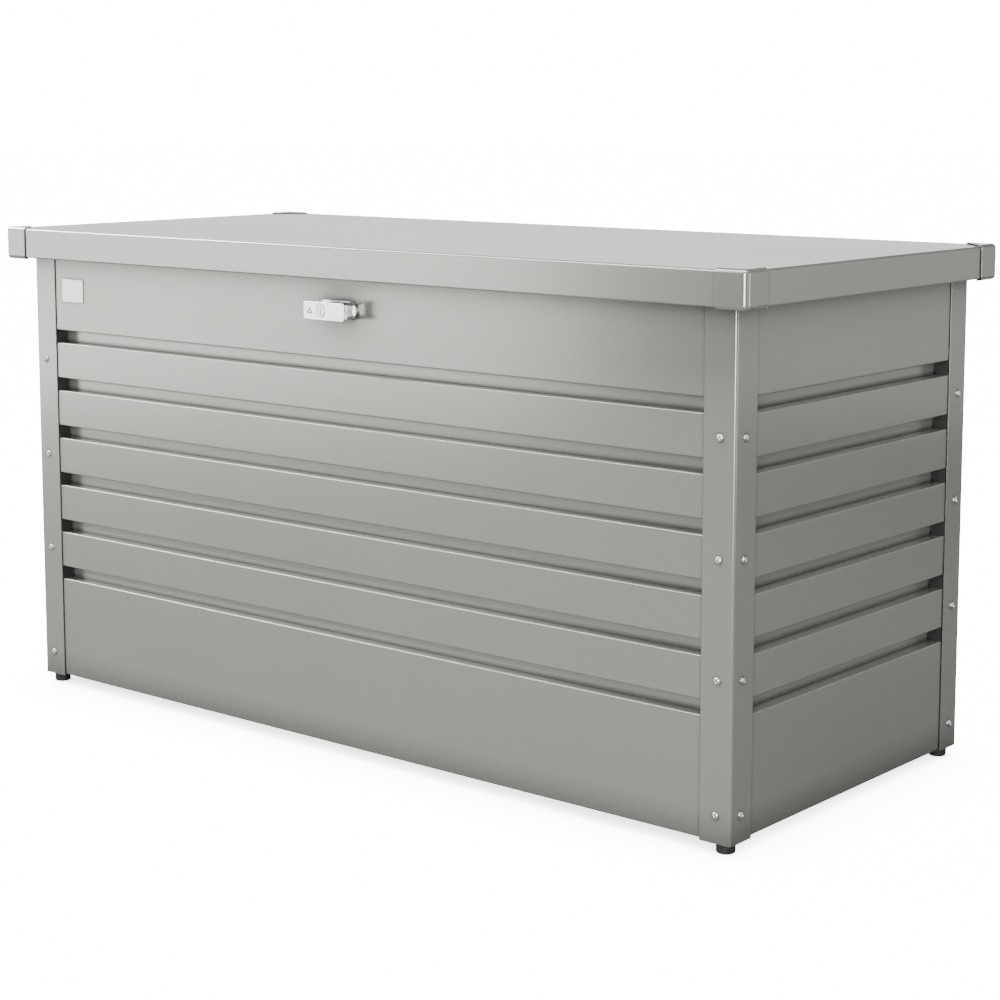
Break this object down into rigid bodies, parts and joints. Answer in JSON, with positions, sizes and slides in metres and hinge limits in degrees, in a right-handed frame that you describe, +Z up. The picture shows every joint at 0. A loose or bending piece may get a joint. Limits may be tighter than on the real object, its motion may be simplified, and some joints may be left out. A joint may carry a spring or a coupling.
{
  "type": "deck storage box",
  "caption": "Lidded steel deck box with grooved walls between corner posts, overhanging capped lid on gas struts, turn-knob lock and adjustable feet.",
  "frame": {"origin": "on the ground under the middle of the whole object's box, feet screwed right in and lid closed", "axes": "+X to the right of somebody facing the front with the knob, +Y to the rear where the hinges are, +Z up"},
  "size_m": [1.34, 0.6054, 0.7053],
  "materials": {
    "painted_steel": "satin warm light grey metallic baked paint",
    "grey_cap": "satin to glossy moulded caps in the lid's grey",
    "zinc_steel": "zinc plated steel, dull",
    "satin_chrome": "satin chrome plated zinc die casting",
    "black_plastic": "matt black moulded plastic",
    "black_tube": "satin black lacquered tube",
    "bright_rod": "hard chromed rod",
    "label_alloy": "brushed light alloy plate, blank",
    "screw_steel": "stainless steel pan heads"
  },
  "bodies": {
    "root": {"front_wall": "painted_steel", "rear_wall": "painted_steel", "left_wall": "painted_steel", "right_wall": "painted_steel", "post_front_right": "painted_steel", "post_front_left": "painted_steel", "post_rear_right": "painted_steel", "post_rear_left": "painted_steel", "floor_pan": "painted_steel", "floor_rail_front": "zinc_steel", "floor_rail_rear": "zinc_steel", "top_rail_front": "zinc_steel", "top_rail_rear": "zinc_steel", "top_rail_left": "zinc_steel", "top_rail_right": "zinc_steel", "foot_plate_front_right": "zinc_steel", "foot_plate_front_left": "zinc_steel", "foot_plate_rear_right": "zinc_steel", "foot_plate_rear_left": "zinc_steel", "hinge_body_leaf_left": "zinc_steel", "hinge_body_leaf_right": "zinc_steel", "hinge_pin_left": "zinc_steel", "hinge_pin_right": "zinc_steel", "strut_base_left": "zinc_steel", "strut_base_right": "zinc_steel", "lock_rosette": "satin_chrome", "lock_housing": "satin_chrome", "lock_nut": "zinc_steel", "label_plate": "label_alloy"},
    "lid": {"lid_shell": "painted_steel", "lid_cap_front_left": "grey_cap", "lid_cap_front_right": "grey_cap", "lid_cap_rear_left": "grey_cap", "lid_cap_rear_right": "grey_cap", "lid_stiffener_left": "painted_steel", "lid_stiffener_right": "painted_steel", "hinge_lid_leaf_left": "zinc_steel", "hinge_lid_leaf_right": "zinc_steel", "strut_lid_bracket_left": "zinc_steel", "strut_lid_bracket_right": "zinc_steel", "lock_keeper": "zinc_steel"},
    "turn_knob": {"turn_knob": "satin_chrome", "lock_barrel": "satin_chrome", "lock_cam": "zinc_steel", "cam_nut": "zinc_steel"},
    "lock_plug": {"lock_plug": "satin_chrome"},
    "strut_cylinder_left": {"strut_cylinder_left": "black_tube"},
    "strut_rod_left": {"strut_rod_left": "bright_rod"},
    "strut_cylinder_right": {"strut_cylinder_right": "black_tube"},
    "strut_rod_right": {"strut_rod_right": "bright_rod"},
    "foot_front_right": {"foot_pad_front_right": "black_plastic", "foot_stud_front_right": "zinc_steel"},
    "foot_front_left": {"foot_pad_front_left": "black_plastic", "foot_stud_front_left": "zinc_steel"},
    "foot_rear_right": {"foot_pad_rear_right": "black_plastic", "foot_stud_rear_right": "zinc_steel"},
    "foot_rear_left": {"foot_pad_rear_left": "black_plastic", "foot_stud_rear_left": "zinc_steel"}
  },
  "joints": [
    {"name": "lid_open", "type": "hinge", "parent": "root", "child": "lid", "pos_m": [0, 0.28985, 0.654], "axis": [-1, 0, 0], "range_deg": [0, 75]},
    {"name": "strut_tilt_left", "type": "hinge", "parent": "root", "child": "strut_cylinder_left", "pos_m": [-0.6, 0.21035, 0.50472], "axis": [-1, 0, 0], "range_deg": [0, 31.5]},
    {"name": "strut_slide_left", "type": "slide", "parent": "strut_cylinder_left", "child": "strut_rod_left", "axis": [0, -0.3326, 0.9431], "range_m": [0, 0.117]},
    {"name": "strut_tilt_right", "type": "hinge", "parent": "root", "child": "strut_cylinder_right", "pos_m": [0.6, 0.21035, 0.50472], "axis": [-1, 0, 0], "range_deg": [0, 31.5]},
    {"name": "strut_slide_right", "type": "slide", "parent": "strut_cylinder_right", "child": "strut_rod_right", "axis": [0, -0.3326, 0.9431], "range_m": [0, 0.117]},
    {"name": "knob_turn", "type": "hinge", "parent": "root", "child": "turn_knob", "pos_m": [-0.003, -0.29465, 0.617], "axis": [0, 1, 0], "range_deg": [0, 90]},
    {"name": "key_turn", "type": "hinge", "parent": "turn_knob", "child": "lock_plug", "pos_m": [-0.003, -0.29965, 0.617], "axis": [0, 1, 0], "range_deg": [0, 90]},
    {"name": "foot_height_front_right", "type": "slide", "parent": "root", "child": "foot_front_right", "axis": [0, 0, -1], "range_m": [0, 0.012]},
    {"name": "foot_height_front_left", "type": "slide", "parent": "root", "child": "foot_front_left", "axis": [0, 0, -1], "range_m": [0, 0.012]},
    {"name": "foot_height_rear_right", "type": "slide", "parent": "root", "child": "foot_rear_right", "axis": [0, 0, -1], "range_m": [0, 0.012]},
    {"name": "foot_height_rear_left", "type": "slide", "parent": "root", "child": "foot_rear_left", "axis": [0, 0, -1], "range_m": [0, 0.012]}
  ],
  "couplings": [
    {"joint": "strut_tilt_left", "follows": "lid_open", "ratio": 0.41875},
    {"joint": "strut_slide_left", "follows": "lid_open", "m_per_rad": 0.089185},
    {"joint": "strut_tilt_right", "follows": "lid_open", "ratio": 0.41875},
    {"joint": "strut_slide_right", "follows": "lid_open", "m_per_rad": 0.089185}
  ]
}
